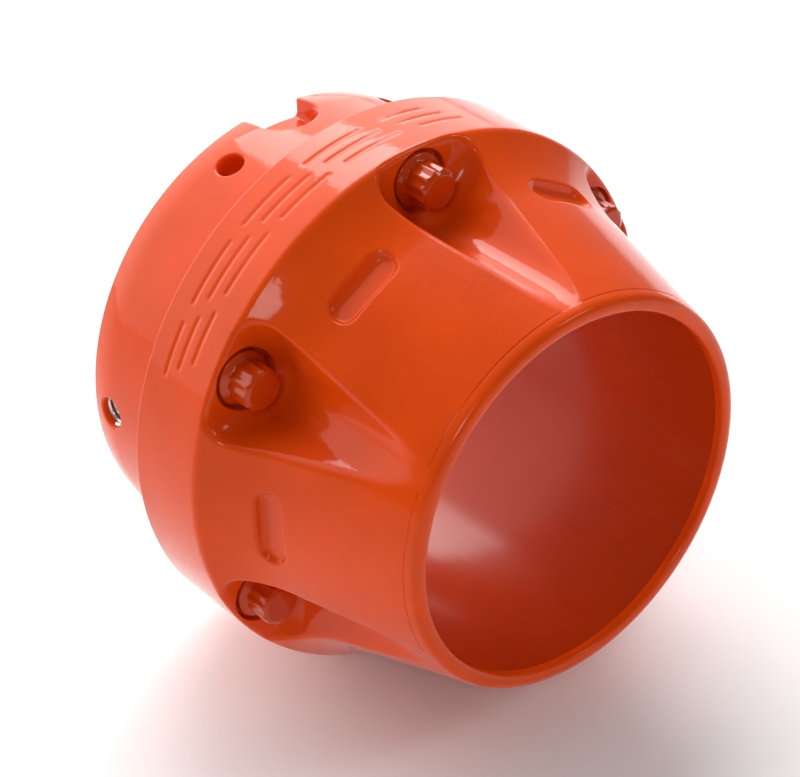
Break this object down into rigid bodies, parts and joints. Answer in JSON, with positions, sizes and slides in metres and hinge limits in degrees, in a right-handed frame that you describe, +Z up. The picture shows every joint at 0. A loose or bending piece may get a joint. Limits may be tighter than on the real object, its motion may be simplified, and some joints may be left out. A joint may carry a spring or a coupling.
{
  "type": "muffler end cap",
  "caption": "Flared round end cap with a plain outlet bore, bolt heads in deep pockets and a spigot ring that fits inside a muffler can.",
  "frame": {"origin": "on the axis, in the plane of the collar's rear shoulder, where the spigot starts", "axes": "+Y along the axis out of the back of the spigot, so the outlet mouth faces -Y; +Z up, as the part is pictured, with the relief notch at the top"},
  "size_m": [0.1142, 0.0896, 0.1142],
  "materials": {
    "painted": "glossy orange powder coat on aluminium",
    "painted_bolt": "glossy orange powder coat on steel",
    "bare_thread": "bare stainless wire"
  },
  "bodies": {
    "root": {"end_cap": "painted", "mounting_ring": "painted", "bolt_1": "painted_bolt", "bolt_2": "painted_bolt", "bolt_3": "painted_bolt", "bolt_4": "painted_bolt", "bolt_5": "painted_bolt", "bolt_6": "painted_bolt", "bolt_insert_1": "bare_thread", "bolt_insert_2": "bare_thread", "bolt_insert_3": "bare_thread", "bolt_insert_4": "bare_thread", "bolt_insert_5": "bare_thread", "bolt_insert_6": "bare_thread", "side_insert_1": "bare_thread", "side_insert_2": "bare_thread", "side_insert_3": "bare_thread"}
  },
  "joints": []
}
